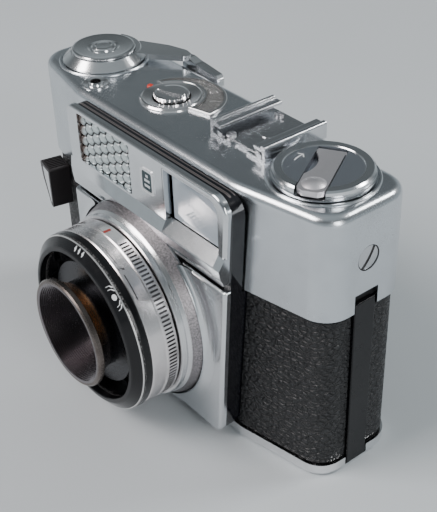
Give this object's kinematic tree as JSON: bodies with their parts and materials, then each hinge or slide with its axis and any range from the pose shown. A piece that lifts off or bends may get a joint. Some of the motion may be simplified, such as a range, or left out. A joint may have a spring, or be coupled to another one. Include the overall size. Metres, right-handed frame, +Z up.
{
  "type": "viewfinder camera",
  "caption": "Folding-crank 35 mm viewfinder camera with a light-meter window, lever wind, accessory shoe, focusing lens and hinged back.",
  "frame": {"origin": "centre of the tripod socket's mouth, on the flat bottom", "axes": "+Z up, the lens looks along -Y, +X on the right of somebody facing the lens"},
  "size_m": [0.1221, 0.0654, 0.0837],
  "materials": {
    "black_casting": "matt black die casting",
    "satin_chrome": "satin chrome",
    "bright_chrome": "bright chrome",
    "panel_chrome": "bright brushed chrome",
    "ring_chrome": "satin turned chrome",
    "knob_chrome": "satin chrome, turned",
    "crank_chrome": "satin chrome",
    "lever_chrome": "satin chrome",
    "shoe_chrome": "satin chrome",
    "spring_steel": "bright spring steel",
    "steel": "plain steel",
    "blade_steel": "blackened steel",
    "lens_metal": "black anodised",
    "black_enamel": "gloss black enamel",
    "black_ring": "black with bright wear on its edges",
    "latch_paint": "black enamel",
    "badge_enamel": "dark teal enamel",
    "needle_paint": "red paint",
    "gear_brass": "plain brass",
    "bronze_tube": "dark bronze, brassy at the waist",
    "leatherette": "black pebbled leatherette",
    "black_plastic": "matt black",
    "key_plastic": "black",
    "dial_black": "black with white marks",
    "cell": "dark brown metallic",
    "honeycomb_glass": "clear honeycomb plastic",
    "clear_plastic": "clear plastic",
    "finder_glass": "coated glass",
    "lens_glass": "coated glass"
  },
  "bodies": {
    "camera": {"body_casting": "black_casting", "cassette_housing": "black_casting", "light_box": "black_casting", "top_cover": "satin_chrome", "bottom_cover": "bright_chrome", "tripod_bush": "steel", "cover_screws": "bright_chrome", "front_core": "black_enamel", "upper_panel": "panel_chrome", "lower_panel": "panel_chrome", "lens_cone": "ring_chrome", "selenium_window": "honeycomb_glass", "selenium_cell": "cell", "badge_frame": "bright_chrome", "badge_insert": "badge_enamel", "finder_bezel": "panel_chrome", "finder_front_lens": "finder_glass", "finder_tube": "black_plastic", "finder_eye_lens": "finder_glass", "eyepiece_frame": "bright_chrome", "accessory_shoe": "shoe_chrome", "shoe_spring": "spring_steel", "shoe_screws": "steel", "leather_left": "leatherette", "leather_right": "leatherette", "film_gate": "steel", "counter_bezel": "ring_chrome", "counter_window": "clear_plastic", "galvanometer": "black_plastic", "cable_socket": "bright_chrome", "hinge_pin": "steel", "shutter_housing": "lens_metal", "shutter_plate": "black_enamel", "rear_lens": "lens_glass"},
    "rewind": {"rewind_knob": "knob_chrome", "rewind_shaft": "steel"},
    "crank": {"rewind_crank": "crank_chrome"},
    "lever": {"advance_lever": "lever_chrome", "advance_cap": "knob_chrome", "advance_shaft": "steel"},
    "idler": {"idler_gear": "gear_brass"},
    "sprocket": {"sprocket_drum": "steel"},
    "spool": {"takeup_spool": "black_plastic"},
    "frame_dial": {"counter_dial": "dial_black"},
    "counter_wheel": {"counter_knob": "bright_chrome"},
    "key": {"release_key": "key_plastic", "key_inlay": "bright_chrome"},
    "door": {"back_door": "black_casting", "leather_door": "leatherette", "pressure_spring": "spring_steel"},
    "plate": {"pressure_plate": "black_enamel"},
    "latch": {"latch_bar": "latch_paint"},
    "button": {"rewind_button": "steel"},
    "needle": {"meter_needle": "needle_paint"},
    "aperture": {"aperture_ring": "ring_chrome"},
    "focus": {"focus_ring": "black_ring"},
    "tube": {"focus_tube": "bronze_tube", "front_lens": "lens_glass"},
    "blade_right": {"shutter_blade_right": "blade_steel"},
    "blade_left": {"shutter_blade_left": "blade_steel"}
  },
  "joints": [
    {"name": "rewind_turn", "type": "hinge", "parent": "camera", "child": "rewind", "pos_m": [0.0444, 0.0021, 0.0793], "axis": [0, 0, 1], "continuous": true},
    {"name": "crank_fold", "type": "hinge", "parent": "rewind", "child": "crank", "pos_m": [0.04059, 0.00844, 0.08145], "axis": [-0.8572, -0.515, 0], "range_deg": [0, 110]},
    {"name": "lever_swing", "type": "hinge", "parent": "camera", "child": "lever", "pos_m": [-0.0453, 0.0012, 0.0793], "axis": [0, 0, 1], "range_deg": [0, 170], "stiffness_Nm_per_rad": 0.02, "springref_deg": -11.46},
    {"name": "idler_turn", "type": "hinge", "parent": "camera", "child": "idler", "pos_m": [-0.03459, -0.00525, 0.0534], "axis": [0, 0, 1], "range_deg": [-438.14, 1]},
    {"name": "sprocket_turn", "type": "hinge", "parent": "camera", "child": "sprocket", "pos_m": [-0.0303, 0.0012, 0.03], "axis": [0, 0, 1], "range_deg": [-1, 361]},
    {"name": "spool_turn", "type": "hinge", "parent": "camera", "child": "spool", "pos_m": [-0.0453, 0.0012, 0.03], "axis": [0, 0, 1], "range_deg": [-1, 383.5]},
    {"name": "frame_dial_turn", "type": "hinge", "parent": "camera", "child": "frame_dial", "pos_m": [-0.0117, 0.0002, 0.0773], "axis": [0, 0, 1], "range_deg": [-1, 9]},
    {"name": "counter_wheel_turn", "type": "hinge", "parent": "camera", "child": "counter_wheel", "pos_m": [-0.0117, 0.0002, 0.0793], "axis": [0, 0, 1], "range_deg": [0, 330]},
    {"name": "key_press", "type": "slide", "parent": "camera", "child": "key", "axis": [0, 0, -1], "range_m": [0, 0.005], "stiffness_N_per_m": 300, "springref_m": -0.002},
    {"name": "door_swing", "type": "hinge", "parent": "camera", "child": "door", "pos_m": [-0.06, 0.00485, 0.027], "axis": [0, 0, 1], "range_deg": [0, 115]},
    {"name": "plate_press", "type": "slide", "parent": "door", "child": "plate", "axis": [0, 1, 0], "range_m": [0, 0.0008], "stiffness_N_per_m": 300, "springref_m": -0.001},
    {"name": "latch_slide", "type": "slide", "parent": "camera", "child": "latch", "axis": [0, 0, 1], "range_m": [0, 0.0024], "stiffness_N_per_m": 200, "springref_m": -0.001},
    {"name": "button_press", "type": "slide", "parent": "camera", "child": "button", "axis": [0, 0, 1], "range_m": [0, 0.0015], "stiffness_N_per_m": 300, "springref_m": -0.001},
    {"name": "needle_swing", "type": "hinge", "parent": "camera", "child": "needle", "pos_m": [-0.015, -0.004, 0.0636], "axis": [0, 0, 1], "range_deg": [0, 40], "stiffness_Nm_per_rad": 0.00002},
    {"name": "aperture_turn", "type": "hinge", "parent": "camera", "child": "aperture", "pos_m": [0, -0.0316, 0.0308], "axis": [0, -1, 0], "range_deg": [0, 60]},
    {"name": "focus_turn", "type": "hinge", "parent": "camera", "child": "focus", "pos_m": [0, -0.0375, 0.0308], "axis": [0, -1, 0], "range_deg": [0, 75]},
    {"name": "focus_slide", "type": "slide", "parent": "camera", "child": "tube", "axis": [0, -1, 0], "range_m": [0, 0.0012]},
    {"name": "blade_right_swing", "type": "hinge", "parent": "camera", "child": "blade_right", "pos_m": [0.014, -0.0299, 0.0308], "axis": [0, -1, 0], "range_deg": [0, 45], "stiffness_Nm_per_rad": 0.0002, "springref_deg": -17.19},
    {"name": "blade_left_swing", "type": "hinge", "parent": "camera", "child": "blade_left", "pos_m": [-0.014, -0.0305, 0.0308], "axis": [0, -1, 0], "range_deg": [-1, 46]}
  ],
  "couplings": [
    {"joint": "idler_turn", "follows": "lever_swing", "ratio": -2.5714},
    {"joint": "sprocket_turn", "follows": "lever_swing", "ratio": 2.1176},
    {"joint": "spool_turn", "follows": "lever_swing", "ratio": 2.25},
    {"joint": "frame_dial_turn", "follows": "lever_swing", "ratio": 0.047059},
    {"joint": "focus_slide", "follows": "focus_turn", "m_per_rad": 0.00091664},
    {"joint": "blade_left_swing", "follows": "blade_right_swing", "ratio": 1}
  ]
}
